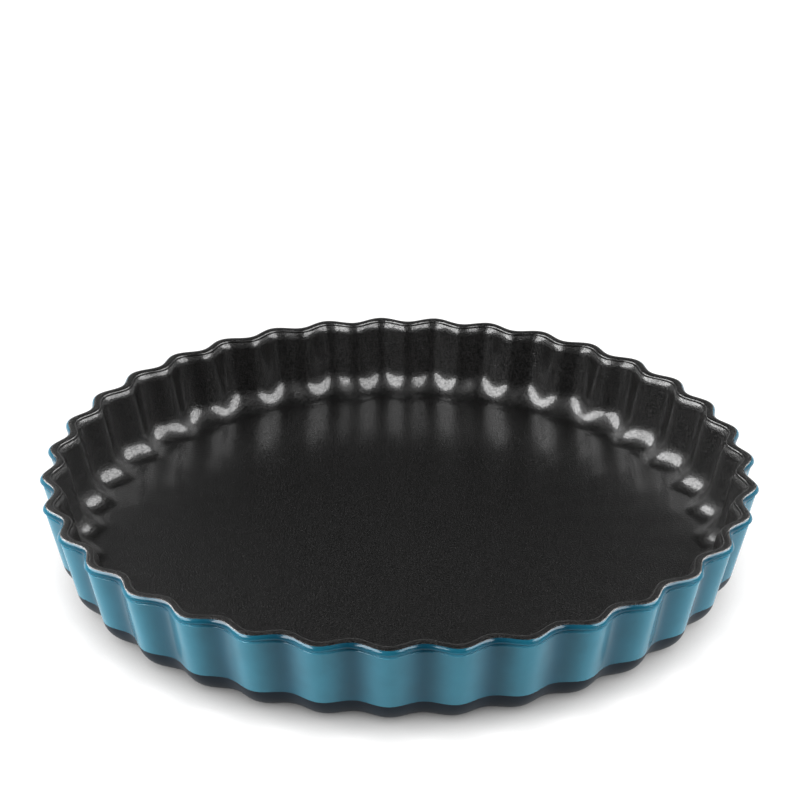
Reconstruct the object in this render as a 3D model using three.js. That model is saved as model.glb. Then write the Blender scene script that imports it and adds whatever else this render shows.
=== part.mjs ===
import * as THREE from 'three';

// A round pie dish with a fluted wall that leans outwards.
// One aluminium casting carries three finishes: a black non-stick lining inside and over the rim,
// a teal lacquer on the lip and the outer wall, and a black coat on the rounded base corner.
// Millimetres, +Z up: the foot stands on z = 0, the axis is Z and one flute crest points to -Y.

// Finished outside sizes
const RIM_DIAMETER = 280;
const DISH_HEIGHT = 35.5;

// Flutes: even waves all round, deeper at the rim than at the base
const FLUTE_COUNT = 35;
const RIM_FLUTE_DEPTH = 4.4;
const BASE_FLUTE_DEPTH = 3;

// Casting
const WALL_DRAFT = 11.4;
const WALL_THICKNESS = 4.4;
const FLOOR_THICKNESS = 5.3;
const CORNER_RADIUS = 12.2;
const FILLET_RADIUS = 12.2;
const FOOT_TURNING = 0.5;

// Lip round the top of the wall: its outer face leans in towards the top.
// The step below it is outside, the flare below it inside.
const LIP_HEIGHT = 2.6;
const LIP_THICKNESS = 3.9;
const LIP_PROJECTION = 0.4;
const LIP_LEAN = 0.5;
const LIP_STEP_RISE = 0.6;
const LIP_INNER_HEIGHT = 1.1;
const FLARE_HEIGHT = 4;

// Finishes
const LINING_FILM = 0.2;
const LACQUER_FILM = 0.2;
const BASE_COAT_FILM = 0.2;

// Facets
const STEPS_PER_FLUTE = 6;
const CORNER_STEPS = 4;
const COLUMNS = FLUTE_COUNT * STEPS_PER_FLUTE;

// Section of the casting, at the mean of crest and valley
const draft = THREE.MathUtils.degToRad(WALL_DRAFT);
const castTop = DISH_HEIGHT - LINING_FILM;
const lipRadius = (RIM_DIAMETER - RIM_FLUTE_DEPTH) / 2 - LACQUER_FILM;

function outerWall(z) {
  return lipRadius - LIP_PROJECTION - (castTop - z) * Math.tan(draft);
}

function innerWall(z) {
  return outerWall(z) - WALL_THICKNESS / Math.cos(draft);
}

// Points of a round between a wall and a level face, from one normal angle to the other
function cornerRound(wallRadius, radius, centreHeight, firstAngle, lastAngle) {
  const centre = wallRadius(centreHeight - radius * Math.sin(draft)) - radius * Math.cos(draft);
  const points = [];
  for (let step = 0; step <= CORNER_STEPS; step += 1) {
    const angle = THREE.MathUtils.lerp(firstAngle, lastAngle, step / CORNER_STEPS);
    const r = centre + radius * Math.cos(angle);
    const z = centreHeight - radius * Math.sin(angle);
    points.push(new THREE.Vector2(r, z));
  }
  return points;
}

// The foot is turned flat, which takes the lowest part of the base corner away
const cornerHeight = CORNER_RADIUS - FOOT_TURNING;
const footAngle = Math.asin(cornerHeight / CORNER_RADIUS);
const baseCorner = cornerRound(outerWall, CORNER_RADIUS, cornerHeight, footAngle, draft);

const filletHeight = FLOOR_THICKNESS + FILLET_RADIUS;
const floorFillet = cornerRound(innerWall, FILLET_RADIUS, filletHeight, draft, Math.PI / 2);

const lipFoot = castTop - LIP_HEIGHT;
const flareTop = castTop - LIP_INNER_HEIGHT;
const flareFoot = flareTop - FLARE_HEIGHT;
const lip = [
  new THREE.Vector2(outerWall(lipFoot), lipFoot),
  new THREE.Vector2(lipRadius, lipFoot + LIP_STEP_RISE),
  new THREE.Vector2(lipRadius - LIP_LEAN, castTop),
  new THREE.Vector2(lipRadius - LIP_THICKNESS, castTop),
  new THREE.Vector2(lipRadius - LIP_THICKNESS, flareTop),
  new THREE.Vector2(innerWall(flareFoot), flareFoot),
];

const section = [
  new THREE.Vector2(0, 0),
  ...baseCorner,
  ...lip,
  ...floorFillet,
  new THREE.Vector2(0, FLOOR_THICKNESS),
];
const footStation = 1;
const bandStation = footStation + CORNER_STEPS;
const shoulderStation = bandStation + 3;
const floorStation = section.length - 1;

// Unit normal of the section between a station and the next one, pointing out of the metal
function faceNormal(station) {
  const along = section[station + 1].clone().sub(section[station]).normalize();
  return new THREE.Vector2(along.y, -along.x);
}

// Point of a finish's outer surface over a station of the casting
function skinPoint(station, film) {
  const metal = section[station];
  if (station === floorStation) {
    return new THREE.Vector2(0, metal.y + film);
  }
  const after = faceNormal(station);
  if (station === footStation) {
    return new THREE.Vector2(metal.x + film / after.x, 0);
  }
  const before = faceNormal(station - 1);
  const miter = before.clone().add(after).divideScalar(1 + before.dot(after));
  return metal.clone().addScaledVector(miter, film);
}

// Stretches of the section, each point with the number of its station
function metalStretch(first, last) {
  const points = [];
  for (let station = first; station <= last; station += 1) {
    points.push({ r: section[station].x, z: section[station].y, station });
  }
  return points;
}

function skinStretch(first, last, film) {
  const points = [];
  for (let station = first; station <= last; station += 1) {
    const skin = skinPoint(station, film);
    points.push({ r: skin.x, z: skin.y, station });
  }
  return points;
}

// A finish that stops at both ends is a closed ring round the dish
function ringProfile(first, last, film) {
  const skin = skinStretch(first, last, film);
  const metal = metalStretch(first, last).reverse();
  return [...skin, ...metal, skin[0]];
}

// Half the depth of the flutes at a height
function fluteReach(z) {
  return THREE.MathUtils.lerp(BASE_FLUTE_DEPTH, RIM_FLUTE_DEPTH, z / DISH_HEIGHT) / 2;
}

// Turns a profile round Z and waves it into flutes.
// Faces that meet between two pieces are split along the same diagonal, so they lie together.
function flutedSolid(profile) {
  const outline = profile.map((point) => new THREE.Vector2(point.r, point.z));
  const solid = new THREE.LatheGeometry(outline, COLUMNS);
  const place = solid.getAttribute('position');
  const rows = profile.length;
  for (let column = 0; column <= COLUMNS; column += 1) {
    const turn = ((column % COLUMNS) / COLUMNS) * 2 * Math.PI;
    const wave = Math.cos(FLUTE_COUNT * turn);
    for (let row = 0; row < rows; row += 1) {
      const { r, z } = profile[row];
      const reach = r > 0 ? r + wave * fluteReach(z) : 0;
      place.setXYZ(column * rows + row, reach * Math.sin(turn), -reach * Math.cos(turn), z);
    }
  }
  const faces = [];
  for (let column = 0; column < COLUMNS; column += 1) {
    const rising = column % STEPS_PER_FLUTE >= STEPS_PER_FLUTE / 2;
    for (let row = 0; row < rows - 1; row += 1) {
      const a = column * rows + row;
      const b = a + rows;
      const c = b + 1;
      const d = a + 1;
      const onward = profile[row + 1].station > profile[row].station;
      if (profile[row].r === 0) {
        faces.push(a, c, d);
      } else if (profile[row + 1].r === 0) {
        faces.push(a, b, d);
      } else if (rising === onward) {
        faces.push(a, b, c, a, c, d);
      } else {
        faces.push(a, b, d, b, c, d);
      }
    }
  }
  solid.setIndex(faces);
  solid.computeVertexNormals();
  return solid;
}

function piece(name, profile, finish) {
  const mesh = new THREE.Mesh(flutedSolid(profile), new THREE.MeshStandardMaterial(finish));
  mesh.name = name;
  return mesh;
}

const castShell = piece('cast_shell', metalStretch(0, floorStation), {
  color: '#b4b6b8',
  roughness: 0.38,
  metalness: 1,
});

const baseCoat = piece('base_corner_coat', ringProfile(footStation, bandStation, BASE_COAT_FILM), {
  color: '#2b3034',
  roughness: 0.5,
  metalness: 0,
});

const lacquer = piece('outer_lacquer', ringProfile(bandStation, shoulderStation, LACQUER_FILM), {
  color: '#3f7f96',
  roughness: 0.25,
  metalness: 0,
});

const liningProfile = [
  ...metalStretch(shoulderStation, floorStation).reverse(),
  ...skinStretch(shoulderStation, floorStation, LINING_FILM),
];
const lining = piece('nonstick_lining', liningProfile, {
  color: '#252423',
  roughness: 0.42,
  metalness: 0,
});

const group = new THREE.Group();
group.name = 'pie_dish';
group.add(castShell, baseCoat, lacquer, lining);

export default group;
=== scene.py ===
import math

import bpy
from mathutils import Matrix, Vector


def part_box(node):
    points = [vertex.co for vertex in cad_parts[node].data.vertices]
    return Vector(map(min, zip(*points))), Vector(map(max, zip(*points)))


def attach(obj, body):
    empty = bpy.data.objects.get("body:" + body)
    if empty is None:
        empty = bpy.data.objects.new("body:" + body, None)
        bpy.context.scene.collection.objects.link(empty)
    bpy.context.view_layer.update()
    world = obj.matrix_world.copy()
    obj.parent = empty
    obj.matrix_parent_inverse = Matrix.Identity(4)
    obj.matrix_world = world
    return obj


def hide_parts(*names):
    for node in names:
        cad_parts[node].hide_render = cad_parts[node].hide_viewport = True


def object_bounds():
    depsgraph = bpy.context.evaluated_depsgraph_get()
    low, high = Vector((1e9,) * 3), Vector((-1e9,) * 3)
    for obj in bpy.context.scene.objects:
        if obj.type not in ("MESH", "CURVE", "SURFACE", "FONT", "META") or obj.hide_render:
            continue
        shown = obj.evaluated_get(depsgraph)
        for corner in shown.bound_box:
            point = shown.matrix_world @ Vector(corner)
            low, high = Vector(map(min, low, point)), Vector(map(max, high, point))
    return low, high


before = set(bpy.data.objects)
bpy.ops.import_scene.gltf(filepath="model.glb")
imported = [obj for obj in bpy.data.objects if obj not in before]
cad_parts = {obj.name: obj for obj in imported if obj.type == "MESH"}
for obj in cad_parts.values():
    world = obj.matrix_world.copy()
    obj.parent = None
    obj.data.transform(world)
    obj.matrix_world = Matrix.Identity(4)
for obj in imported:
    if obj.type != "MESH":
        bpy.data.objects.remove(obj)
cad_box = [list(corner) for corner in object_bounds()]

# Cast shell
# The dish itself: one aluminium casting with a flat floor, a fluted wall that leans outwards and a stepped lip.
# It comes from a two-part mould, and its foot is turned flat on a lathe, so only the foot is left bare.
MM = 0.001
flute_count = 35
rim_flute_depth = 4.4 * MM
base_flute_depth = 3 * MM
draft = math.radians(11.4)
wall_thickness = 4.8 * MM
floor_thickness = 5.5 * MM
corner_radius = 12.4 * MM
foot_turning = 0.5 * MM
fillet_radius = 12 * MM
lip_height = 3.3 * MM
lip_thickness = 4.5 * MM
lip_projection = 0.4 * MM
lip_lean = 0.5 * MM
lip_step_rise = 1.6 * MM
lip_inner_height = 1.1 * MM
lip_edge_loss = 0.1 * MM  # the rounded edge of the lip lies this far inside its corner
flare_lean = math.radians(38)
groove_depth = 0.8 * MM
groove_rise = 0.2 * MM
wall_edge_round = 0.5 * MM
groove_round = 0.1 * MM
lip_edge_round = 0.4 * MM
shoulder_round = 1.7 * MM
inner_edge_round = 0.95 * MM
flare_top_round = 0.4 * MM
flare_foot_round = 7 * MM
corner_steps = 14
edge_steps = 6
corners_to_shoulder = 4
lining_edge_step = 2
columns_per_flute = 24

shell_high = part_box("cast_shell")[1]
dish_low, dish_high = cad_box
dish_height = dish_high[2]
film = dish_height - shell_high.z


def flute_reach(height):
    """Half the depth of the flutes at a height."""
    share = height / dish_height
    return (base_flute_depth * (1 - share) + rim_flute_depth * share) / 2


lip_radius = -dish_low[1] - flute_reach(dish_height) + lip_edge_loss


def outer_wall(height):
    """Radius of the finished wall's outside at a height, midway between crest and valley."""
    return lip_radius - lip_projection - (dish_height - height) * math.tan(draft)


def inner_wall(height):
    """Radius of the finished wall's inside at a height, midway between crest and valley."""
    return outer_wall(height) - wall_thickness / math.cos(draft)


def corner_round(wall, radius, centre_height, first_angle, last_angle):
    """Points of the round between a wall and a level face, from one slope to the other."""
    centre = wall(centre_height - radius * math.sin(draft)) - radius * math.cos(draft)
    points = []
    for step in range(corner_steps + 1):
        angle = first_angle + (last_angle - first_angle) * step / corner_steps
        points.append(Vector((centre + radius * math.cos(angle), centre_height - radius * math.sin(angle))))
    return points


def rounded_path(corners):
    """A path through corners (radius from the axis, height, round), each rounded off but the two ends."""
    path = [Vector(corners[0][:2])]
    for before, corner, after in zip(corners, corners[1:], corners[2:]):
        here = Vector(corner[:2])
        back = (Vector(before[:2]) - here).normalized()
        onward = (Vector(after[:2]) - here).normalized()
        half_angle = back.angle(onward) / 2
        centre = here + (back + onward).normalized() * corner[2] / math.sin(half_angle)
        tangent = corner[2] / math.tan(half_angle)
        first = (here + back * tangent - centre).normalized()
        last = (here + onward * tangent - centre).normalized()
        path += [centre + first.slerp(last, step / edge_steps) * corner[2] for step in range(edge_steps + 1)]
    return path + [Vector(corners[-1][:2])]


corner_height = corner_radius - foot_turning
foot_angle = math.asin(corner_height / corner_radius)
base_corner = corner_round(outer_wall, corner_radius, corner_height, foot_angle, draft)
floor_fillet = corner_round(inner_wall, fillet_radius, floor_thickness + fillet_radius, draft, math.pi / 2)
lip_foot = dish_height - lip_height
lip_edge = lip_foot + lip_step_rise
flare_top = dish_height - lip_inner_height
flare_gap = lip_radius - lip_thickness - inner_wall(flare_top)
flare_foot = flare_top - flare_gap / (math.tan(flare_lean) - math.tan(draft))
lip = rounded_path([
    (*base_corner[-1], 0),
    (outer_wall(lip_foot), lip_foot, wall_edge_round),
    (outer_wall(lip_foot) - groove_depth, lip_foot + groove_rise, groove_round),
    (lip_radius, lip_edge, lip_edge_round),
    (lip_radius - lip_lean, dish_height, shoulder_round),
    (lip_radius - lip_thickness, dish_height, inner_edge_round),
    (lip_radius - lip_thickness, flare_top, flare_top_round),
    (inner_wall(flare_foot), flare_foot, flare_foot_round),
    (*floor_fillet[0], 0),
])
skin = [*base_corner, *lip[1:-1], *floor_fillet, Vector((0, floor_thickness))]
band_station = corner_steps
shoulder_station = band_station + corners_to_shoulder * (edge_steps + 1) - lining_edge_step
floor_station = len(skin) - 1


def bare_point(station):
    """Point of the bare casting under a station of the finished surface."""
    here = skin[station]
    if station == floor_station:
        return here - Vector((0, film))
    along = skin[station + 1] - here
    after = Vector((along.y, -along.x)).normalized()
    if station == 0:
        return Vector((here.x - film / after.x, 0))
    along = here - skin[station - 1]
    before = Vector((along.y, -along.x)).normalized()
    return here - (before + after) * film / (1 + before.dot(after))


metal = [bare_point(station) for station in range(len(skin))]


def add_node(tree, kind, inputs=None, **settings):
    """Adds a node with its settings; each input is a plain value or the socket that feeds it."""
    node = tree.nodes.new(kind)
    for name, value in settings.items():
        setattr(node, name, value)
    for key, value in (inputs or {}).items():
        if isinstance(value, bpy.types.NodeSocket):
            tree.links.new(value, node.inputs[key])
        else:
            node.inputs[key].default_value = value
    return node


# Geometry Nodes tree that turns a section round the axis and waves it into flutes.
# Each row of a grid takes one point of the section; the grid's length is the full turn.
axis_width = 0.001 * MM
weld_distance = 0.005 * MM
sharp_angle = math.radians(40)
fluting = bpy.data.node_groups.new("fluted turning", "GeometryNodeTree")
for name, kind in (
    ("Geometry", "NodeSocketGeometry"),
    ("Flute Count", "NodeSocketInt"),
    ("Columns", "NodeSocketInt"),
    ("Base Reach", "NodeSocketFloat"),
    ("Rim Reach", "NodeSocketFloat"),
    ("Dish Height", "NodeSocketFloat"),
    ("Finish", "NodeSocketMaterial"),
):
    fluting.interface.new_socket(name, in_out="INPUT", socket_type=kind)
fluting.interface.new_socket("Geometry", in_out="OUTPUT", socket_type="NodeSocketGeometry")
given = add_node(fluting, "NodeGroupInput").outputs
section_size = add_node(fluting, "GeometryNodeAttributeDomainSize", {"Geometry": given["Geometry"]})
rows = section_size.outputs["Point Count"]
row_span = add_node(fluting, "ShaderNodeMath", {0: rows, 1: 1.0}, operation="SUBTRACT")
column_ends = add_node(fluting, "ShaderNodeMath", {0: given["Columns"], 1: 1.0}, operation="ADD")
grid = add_node(fluting, "GeometryNodeMeshGrid", {
    "Size X": 2 * math.pi,
    "Size Y": row_span.outputs[0],
    "Vertices X": column_ends.outputs[0],
    "Vertices Y": rows,
})
grid_place = add_node(fluting, "GeometryNodeInputPosition")
on_grid = add_node(fluting, "ShaderNodeSeparateXYZ", {0: grid_place.outputs[0]}).outputs
row = add_node(fluting, "ShaderNodeMath", {0: rows, 1: 0.5, 2: on_grid["Y"]}, operation="MULTIPLY_ADD")
section_point = add_node(fluting, "GeometryNodeSampleIndex", {
    "Geometry": given["Geometry"],
    "Value": grid_place.outputs[0],
    "Index": row.outputs[0],
}, data_type="FLOAT_VECTOR", domain="POINT")
on_section = add_node(fluting, "ShaderNodeSeparateXYZ", {0: section_point.outputs[0]}).outputs
flute_turn = add_node(fluting, "ShaderNodeMath", {
    0: on_grid["X"],
    1: given["Flute Count"],
}, operation="MULTIPLY")
wave = add_node(fluting, "ShaderNodeMath", {0: flute_turn.outputs[0]}, operation="COSINE")
reach = add_node(fluting, "ShaderNodeMapRange", {
    "Value": on_section["Z"],
    "From Max": given["Dish Height"],
    "To Min": given["Base Reach"],
    "To Max": given["Rim Reach"],
}, clamp=False)
off_axis = add_node(fluting, "ShaderNodeMath", {0: on_section["X"], 1: axis_width}, operation="GREATER_THAN")
swing = add_node(fluting, "ShaderNodeMath", {
    0: reach.outputs[0],
    1: off_axis.outputs[0],
}, operation="MULTIPLY")
fluted_radius = add_node(fluting, "ShaderNodeMath", {
    0: wave.outputs[0],
    1: swing.outputs[0],
    2: on_section["X"],
}, operation="MULTIPLY_ADD")
forward = add_node(fluting, "ShaderNodeMath", {0: fluted_radius.outputs[0], 1: -1.0}, operation="MULTIPLY")
at_front = add_node(fluting, "ShaderNodeCombineXYZ", {"Y": forward.outputs[0], "Z": on_section["Z"]})
in_place = add_node(fluting, "ShaderNodeVectorRotate", {
    "Vector": at_front.outputs[0],
    "Angle": on_grid["X"],
}, rotation_type="Z_AXIS")
marked = add_node(fluting, "GeometryNodeStoreNamedAttribute", {
    "Geometry": grid.outputs["Mesh"],
    "Name": "flute wave",
    "Value": wave.outputs[0],
}, data_type="FLOAT", domain="POINT")
waved = add_node(fluting, "GeometryNodeSetPosition", {
    "Geometry": marked.outputs[0],
    "Position": in_place.outputs[0],
})
closed = add_node(fluting, "GeometryNodeMergeByDistance", {
    "Geometry": waved.outputs[0],
    "Distance": weld_distance,
})
smooth = add_node(fluting, "GeometryNodeSetShadeSmooth", {"Geometry": closed.outputs[0]}, domain="FACE")
edge_angle = add_node(fluting, "GeometryNodeInputMeshEdgeAngle")
is_sharp = add_node(fluting, "ShaderNodeMath", {
    0: edge_angle.outputs["Unsigned Angle"],
    1: sharp_angle,
}, operation="GREATER_THAN")
sharp = add_node(fluting, "GeometryNodeSetShadeSmooth", {
    "Geometry": smooth.outputs[0],
    "Selection": is_sharp.outputs[0],
    "Shade Smooth": False,
}, domain="EDGE")
realized = add_node(fluting, "GeometryNodeRealizeInstances", {"Geometry": sharp.outputs[0]})
finished = add_node(fluting, "GeometryNodeSetMaterial", {
    "Geometry": realized.outputs[0],
    "Material": given["Finish"],
})
add_node(fluting, "NodeGroupOutput", {"Geometry": finished.outputs[0]})


def fluted_piece(name, section, finish):
    """Turns a section of (radius, height) points into a fluted piece with its finish."""
    mesh = bpy.data.meshes.new(name)
    mesh.from_pydata([(point.x, 0, point.y) for point in section], [], [])
    piece = bpy.data.objects.new(name, mesh)
    bpy.context.scene.collection.objects.link(piece)
    modifier = piece.modifiers.new("fluted turning", "NODES")
    modifier.node_group = fluting
    values = {
        "Flute Count": flute_count,
        "Columns": flute_count * columns_per_flute,
        "Base Reach": flute_reach(0),
        "Rim Reach": flute_reach(dish_height),
        "Dish Height": dish_height,
        "Finish": finish,
    }
    for socket in fluting.interface.items_tree:
        if socket.name in values:
            modifier[socket.identifier] = values[socket.name]
    scene_now = bpy.context.evaluated_depsgraph_get()
    turned = bpy.data.meshes.new_from_object(piece.evaluated_get(scene_now), depsgraph=scene_now)
    piece.modifiers.clear()
    piece.data = turned
    turned.name = name
    bpy.data.meshes.remove(mesh)
    return piece


def srgb(colour):
    """Linear colour of an sRGB hex value."""
    parts = [int(colour[at:at + 2], 16) / 255 for at in (1, 3, 5)]
    return (*[part / 12.92 if part <= 0.04045 else ((part + 0.055) / 1.055) ** 2.4 for part in parts], 1)


def add_material(name):
    """A new material with its node tree and its surface node."""
    material = bpy.data.materials.new(name)
    material.use_nodes = True
    return material, material.node_tree, material.node_tree.nodes["Principled BSDF"]


# Cast aluminium, turned on the foot: pale grey metal with fine rings left by the lathe tool.
# The tool's feed is about 0.3 mm; the rings are drawn four times as coarse so that they show.
turning_feed = 1.2 * MM
wave_texture_rate = 20
aluminium, tree, surface = add_material("turned cast aluminium")
place = add_node(tree, "ShaderNodeTexCoord").outputs["Object"]
rings = add_node(tree, "ShaderNodeTexWave", {
    "Vector": place,
    "Scale": 2 * math.pi / wave_texture_rate / turning_feed,
    "Distortion": 0.6,
    "Detail": 2.0,
    "Detail Scale": 2.0,
}, wave_type="RINGS", rings_direction="Z")
blotches = add_node(tree, "ShaderNodeTexNoise", {"Vector": place, "Scale": 1 / (18 * MM), "Detail": 4.0})
metal_tone = add_node(tree, "ShaderNodeMix", {
    "Factor": blotches.outputs["Fac"],
    "A": srgb("#a9abad"),
    "B": srgb("#c6c8c9"),
}, data_type="RGBA")
metal_polish = add_node(tree, "ShaderNodeMapRange", {
    "Value": rings.outputs["Fac"],
    "To Min": 0.28,
    "To Max": 0.44,
})
metal_rings = add_node(tree, "ShaderNodeBump", {
    "Height": rings.outputs["Fac"],
    "Strength": 0.5,
    "Distance": 0.02 * MM,
})
surface.inputs["Metallic"].default_value = 1.0
tree.links.new(metal_tone.outputs[2], surface.inputs["Base Color"])
tree.links.new(metal_polish.outputs[0], surface.inputs["Roughness"])
tree.links.new(metal_rings.outputs[0], surface.inputs["Normal"])

shell = fluted_piece("cast_shell_turned", [Vector((0, 0)), *metal], aluminium)
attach(shell, "root")
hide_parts("cast_shell")

# Base corner coat
# A black coat on the rounded corner between the wall and the foot, with a sharp line where the lacquer begins.
# It is sprayed on and baked, and it stops at the edge of the turned foot.


def ring_section(first, last):
    """Closed section of a finish that runs from one station of the casting to another."""
    return skin[first:last + 1] + metal[first:last + 1][::-1] + [skin[first]]


# Baked black paint: nearly black with a slight blue, satin, with a faint orange peel of about 1 mm.
base_black, tree, surface = add_material("baked black paint")
place = add_node(tree, "ShaderNodeTexCoord").outputs["Object"]
peel = add_node(tree, "ShaderNodeTexNoise", {"Vector": place, "Scale": 1 / (1.0 * MM), "Detail": 2.0})
cloud = add_node(tree, "ShaderNodeTexNoise", {"Vector": place, "Scale": 1 / (12 * MM), "Detail": 3.0})
black_tone = add_node(tree, "ShaderNodeMix", {
    "Factor": cloud.outputs["Fac"],
    "A": srgb("#121a22"),
    "B": srgb("#18242e"),
}, data_type="RGBA")
black_sheen = add_node(tree, "ShaderNodeMapRange", {
    "Value": cloud.outputs["Fac"],
    "To Min": 0.34,
    "To Max": 0.46,
})
black_peel = add_node(tree, "ShaderNodeBump", {
    "Height": peel.outputs["Fac"],
    "Strength": 0.4,
    "Distance": 0.02 * MM,
})
surface.inputs["Specular IOR Level"].default_value = 0.15
tree.links.new(black_tone.outputs[2], surface.inputs["Base Color"])
tree.links.new(black_sheen.outputs[0], surface.inputs["Roughness"])
tree.links.new(black_peel.outputs[0], surface.inputs["Normal"])

base_coat = fluted_piece("base_corner_paint", ring_section(0, band_station), base_black)
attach(base_coat, "root")
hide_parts("base_corner_coat")

# Outer lacquer
# The teal coat on the wall and the lip, carried most of the way over the rounded shoulder of the rim.
# It is sprayed on before the lining and baked to a gloss.

# Gloss lacquer: teal with painted shade, darker in the flutes' valleys than on their crests, and darker on the lip.
# It drifts slowly in tone and has a shallow orange peel of about 1.4 mm.
teal, tree, surface = add_material("baked teal lacquer")
place = add_node(tree, "ShaderNodeTexCoord").outputs["Object"]
peel = add_node(tree, "ShaderNodeTexNoise", {"Vector": place, "Scale": 1 / (1.4 * MM), "Detail": 2.0})
cloud = add_node(tree, "ShaderNodeTexNoise", {"Vector": place, "Scale": 1 / (9 * MM), "Detail": 4.0})
flute = add_node(tree, "ShaderNodeAttribute", attribute_name="flute wave").outputs["Fac"]
# Painted shade: the teal runs from a dark tone in the flutes' valleys to a light one on their crests.
painted_valley_shade = add_node(tree, "ShaderNodeMapRange", {"Value": flute, "From Min": -1.0, "From Max": 1.0})
teal_with_valley_shade = add_node(tree, "ShaderNodeMix", {
    "Factor": painted_valley_shade.outputs[0],
    "A": srgb("#235366"),
    "B": srgb("#408297"),
}, data_type="RGBA")
drift = add_node(tree, "ShaderNodeMapRange", {
    "Value": cloud.outputs["Fac"],
    "To Min": 0.85,
    "To Max": 1.15,
})
height = add_node(tree, "ShaderNodeSeparateXYZ", {0: place}).outputs["Z"]
# Painted shade: the teal is multiplied darker from the lip's foot up to its edge and on over the shoulder.
painted_lip_shade_mask = add_node(tree, "ShaderNodeMapRange", {"Value": height, "From Min": lip_foot, "From Max": lip_edge})
teal_with_lip_shade = add_node(tree, "ShaderNodeMix", {
    "Factor": painted_lip_shade_mask.outputs[0],
    "A": teal_with_valley_shade.outputs[2],
    "B": srgb("#8ccfd8"),
}, data_type="RGBA", blend_type="MULTIPLY")
teal_tone = add_node(tree, "ShaderNodeMix", {
    "Factor": 1.0,
    "A": teal_with_lip_shade.outputs[2],
    "B": drift.outputs[0],
}, data_type="RGBA", blend_type="MULTIPLY")
teal_gloss = add_node(tree, "ShaderNodeMapRange", {
    "Value": cloud.outputs["Fac"],
    "To Min": 0.16,
    "To Max": 0.24,
})
teal_peel = add_node(tree, "ShaderNodeBump", {
    "Height": peel.outputs["Fac"],
    "Strength": 0.25,
    "Distance": 0.015 * MM,
})
surface.inputs["IOR"].default_value = 1.35
tree.links.new(teal_tone.outputs[2], surface.inputs["Base Color"])
tree.links.new(teal_gloss.outputs[0], surface.inputs["Roughness"])
tree.links.new(teal_peel.outputs[0], surface.inputs["Normal"])

lacquer = fluted_piece("outer_lacquer_gloss", ring_section(band_station, shoulder_station), teal)
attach(lacquer, "root")
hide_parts("outer_lacquer")

# Non-stick lining
# The black coat over the whole inside and the rim's top, down to the line on the shoulder where the teal ends.
# It is sprayed on in layers and baked, which leaves a fine pebbled skin.

# Baked non-stick coat: warm black and satin, with a pebbled skin of about 0.6 mm under a thin clear layer.
# Grains of about 0.7 mm, which differ in tone, roughness and clear layer, break its highlights up.
nonstick, tree, surface = add_material("baked black non-stick coat")
place = add_node(tree, "ShaderNodeTexCoord").outputs["Object"]
pebbles = add_node(tree, "ShaderNodeTexNoise", {"Vector": place, "Scale": 1 / (0.6 * MM), "Detail": 2.0})
cloud = add_node(tree, "ShaderNodeTexNoise", {"Vector": place, "Scale": 1 / (25 * MM), "Detail": 4.0})
lining_tone = add_node(tree, "ShaderNodeMix", {
    "Factor": cloud.outputs["Fac"],
    "A": srgb("#090908"),
    "B": srgb("#0e0d0d"),
}, data_type="RGBA")
speckle = add_node(tree, "ShaderNodeTexNoise", {"Vector": place, "Scale": 1 / (0.7 * MM), "Detail": 1.0})
grains = add_node(tree, "ShaderNodeMapRange", {
    "Value": speckle.outputs["Fac"],
    "From Min": 0.4,
    "From Max": 0.6,
}).outputs[0]
lining_satin = add_node(tree, "ShaderNodeMapRange", {"Value": grains, "To Min": 0.28, "To Max": 0.42})
grain_coat = add_node(tree, "ShaderNodeMapRange", {"Value": grains, "To Min": 0.22, "To Max": 0.78})
grain_shade = add_node(tree, "ShaderNodeMapRange", {"Value": grains, "To Min": 0.2, "To Max": 1.8})
grainy_tone = add_node(tree, "ShaderNodeMix", {
    "Factor": 1.0,
    "A": lining_tone.outputs[2],
    "B": grain_shade.outputs[0],
}, data_type="RGBA", blend_type="MULTIPLY")
lining_grain = add_node(tree, "ShaderNodeBump", {
    "Height": pebbles.outputs["Fac"],
    "Strength": 1.0,
    "Distance": 0.18 * MM,
})
lining_skin = add_node(tree, "ShaderNodeBump", {
    "Height": pebbles.outputs["Fac"],
    "Strength": 1.0,
    "Distance": 0.035 * MM,
})
surface.inputs["Specular IOR Level"].default_value = 0.25
surface.inputs["Coat Roughness"].default_value = 0.12
tree.links.new(grainy_tone.outputs[2], surface.inputs["Base Color"])
tree.links.new(lining_satin.outputs[0], surface.inputs["Roughness"])
tree.links.new(lining_grain.outputs[0], surface.inputs["Normal"])
tree.links.new(grain_coat.outputs[0], surface.inputs["Coat Weight"])
tree.links.new(lining_skin.outputs[0], surface.inputs["Coat Normal"])

lining_section = metal[shoulder_station:][::-1] + skin[shoulder_station:]
lining = fluted_piece("nonstick_lining_satin", lining_section, nonstick)
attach(lining, "root")
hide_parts("nonstick_lining")

# Floor and lights
# A plain white ground that glows, with a painted shadow in its glow close to the dish, strongest in front of it, on
# top of the real shadow that the lamps cast. A weak light overhead and four fills round the dish light its colours;
# two oval softboxes over its left and right show in its reflections alone. The room above is dark, so the lining
# stays black.
ground_size = 4.0
shadow_reach = 0.0125
full_shadow_depth, weak_shadow_depth = -0.12, -0.02
weak_shadow = 0.35


def rays_seen(tree):
    """Sockets that are 1 for rays from the camera, and for rays that a surface mirrors or lets through."""
    rays = add_node(tree, "ShaderNodeLightPath").outputs
    mirrored = add_node(tree, "ShaderNodeMath", {
        0: rays["Is Glossy Ray"],
        1: rays["Is Transmission Ray"],
    }, operation="MAXIMUM")
    return rays["Is Camera Ray"], mirrored.outputs[0]


ground_mesh = bpy.data.meshes.new("ground")
corners = [(-ground_size, -ground_size, 0), (ground_size, -ground_size, 0),
           (ground_size, ground_size, 0), (-ground_size, ground_size, 0)]
ground_mesh.from_pydata(corners, [], [(0, 1, 2, 3)])
ground = bpy.data.objects.new("ground", ground_mesh)
bpy.context.scene.collection.objects.link(ground)

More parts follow.
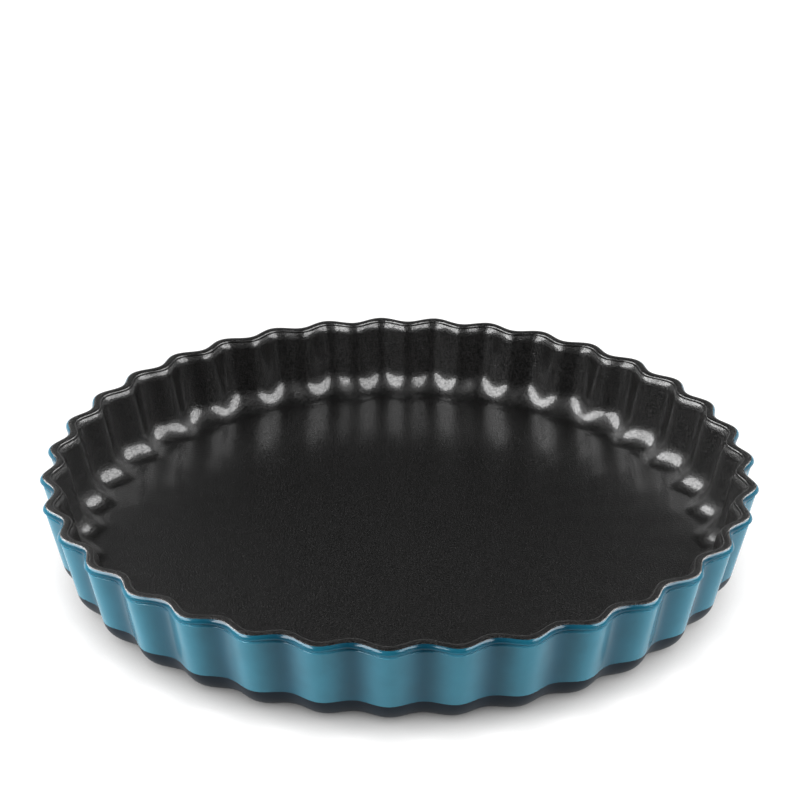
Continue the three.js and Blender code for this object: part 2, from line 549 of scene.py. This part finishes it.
# White paper: matt, and bright enough by its own glow to look white to the camera and in the dish's reflections.
paper, tree, surface = add_material("white paper sweep")
surface.inputs["Base Color"].default_value = srgb("#6e6e6e")
surface.inputs["Roughness"].default_value = 0.9
surface.inputs["Specular IOR Level"].default_value = 0.0
surface.inputs["Emission Color"].default_value = srgb("#ffffff")
from_camera, mirrored = rays_seen(tree)
shown = add_node(tree, "ShaderNodeMath", {0: from_camera, 1: mirrored}, operation="MAXIMUM")
# Painted shadow: the glow fades near the dish with ambient occlusion, fully in front of it and only weakly at its
# sides.
painted_shadow_occlusion = add_node(tree, "ShaderNodeAmbientOcclusion", {"Distance": shadow_reach}, samples=8)
ground_place = add_node(tree, "ShaderNodeTexCoord").outputs["Object"]
ground_depth = add_node(tree, "ShaderNodeSeparateXYZ", {0: ground_place}).outputs["Y"]
painted_shadow_strength = add_node(tree, "ShaderNodeMapRange", {
    "Value": ground_depth,
    "From Min": full_shadow_depth,
    "From Max": weak_shadow_depth,
    "To Min": 1.0,
    "To Max": weak_shadow,
})
painted_shadow_factor = add_node(tree, "ShaderNodeMath", {0: painted_shadow_occlusion.outputs["AO"], 1: painted_shadow_strength.outputs[0]}, operation="POWER")
glow = add_node(tree, "ShaderNodeMath", {0: shown.outputs[0], 1: painted_shadow_factor.outputs[0]}, operation="MULTIPLY")
tree.links.new(glow.outputs[0], surface.inputs["Emission Strength"])
ground_mesh.materials.append(paper)


def add_softbox(name, centre, facing, width, height, radiance):
    """An oval lamp, hidden from the camera, that shows one even radiance over its face."""
    lamp = bpy.data.lights.new(name, "AREA")
    lamp.shape = "ELLIPSE"
    lamp.size = width
    lamp.size_y = height
    lamp.energy = radiance * math.pi * (math.pi / 4 * width * height)
    softbox = bpy.data.objects.new(name, lamp)
    softbox.location = centre
    softbox.rotation_euler = Vector(facing).to_track_quat("-Z", "Y").to_euler()
    softbox.visible_camera = False
    bpy.context.scene.collection.objects.link(softbox)
    return softbox


top_depth, top_height = 0.35, 0.8
top_light = add_softbox(
    "top light",
    (0, top_depth, top_height),
    (0, -top_depth, -top_height),
    width=0.9,
    height=0.6,
    radiance=3.8,
)
top_light.visible_glossy = False

# Fill lights: side, depth and radiance of each.
fill_height, fill_drop = 0.22, 0.2
for side, depth, radiance in ((-1, -0.45, 20.0), (1, -0.58, 16.0), (-1, 0.58, 16.0), (1, 0.58, 8.0)):
    fill_light = add_softbox(
        "fill light",
        (side, depth, fill_height),
        (-side, -depth, -fill_drop),
        width=0.8,
        height=0.4,
        radiance=radiance,
    )
    fill_light.visible_glossy = False

# Side lights: side, front end, back end and radiance of each. Their lower edges stand further out than their upper.
side_foot, side_head = 0.57, 0.27
side_low, side_high = 0.336, 0.562
for side, front_end, back_end, radiance in ((-1, -0.72, 0.53, 14.0), (1, -0.5, 0.57, 10.6)):
    side_light = add_softbox(
        "side light",
        (side * (side_foot + side_head) / 2, (front_end + back_end) / 2, (side_low + side_high) / 2),
        (-side * (side_high - side_low), 0, side_head - side_foot),
        width=back_end - front_end,
        height=math.hypot(side_foot - side_head, side_high - side_low),
        radiance=radiance,
    )
    side_light.visible_diffuse = False

# The room: white to the camera, and in reflections a glow low down at the back that fades out upwards and forwards.
glow_top = 0.42
glow_back = 0.5
room = bpy.data.worlds.new("dim room")
room.use_nodes = True
tree = room.node_tree
sky_place = add_node(tree, "ShaderNodeTexCoord").outputs["Generated"]
sky = add_node(tree, "ShaderNodeSeparateXYZ", {0: sky_place}).outputs
sky_rise = add_node(tree, "ShaderNodeMapRange", {
    "Value": sky["Z"],
    "From Max": glow_top,
    "To Min": 1.0,
    "To Max": 0.0,
})
sky_depth = add_node(tree, "ShaderNodeMapRange", {"Value": sky["Y"], "From Max": glow_back})
sky_level = add_node(tree, "ShaderNodeMath", {
    0: sky_rise.outputs[0],
    1: sky_depth.outputs[0],
}, operation="MULTIPLY")
from_camera, mirrored = rays_seen(tree)
sky_mirror = add_node(tree, "ShaderNodeMath", {0: mirrored, 1: sky_level.outputs[0]}, operation="MULTIPLY")
sky_glow = add_node(tree, "ShaderNodeMath", {0: from_camera, 1: sky_mirror.outputs[0]}, operation="MAXIMUM")
tree.links.new(sky_glow.outputs[0], tree.nodes["Background"].inputs["Strength"])
tree.nodes["Background"].inputs["Color"].default_value = srgb("#ffffff")
bpy.context.scene.world = room
bpy.context.scene.view_settings.view_transform = "Standard"

# Camera
# A long lens in front of the dish and above it, a little to the right of the front flute.
camera_data = bpy.data.cameras.new("camera")
camera_data.sensor_width = 36
camera_data.lens = 95.45
camera = bpy.data.objects.new("camera", camera_data)
camera.location = (0.02018, -0.7401, 0.4206)
camera.rotation_euler = (math.radians(64.113), math.radians(-0.059), math.radians(1.571))
bpy.context.scene.collection.objects.link(camera)
bpy.context.scene.camera = camera
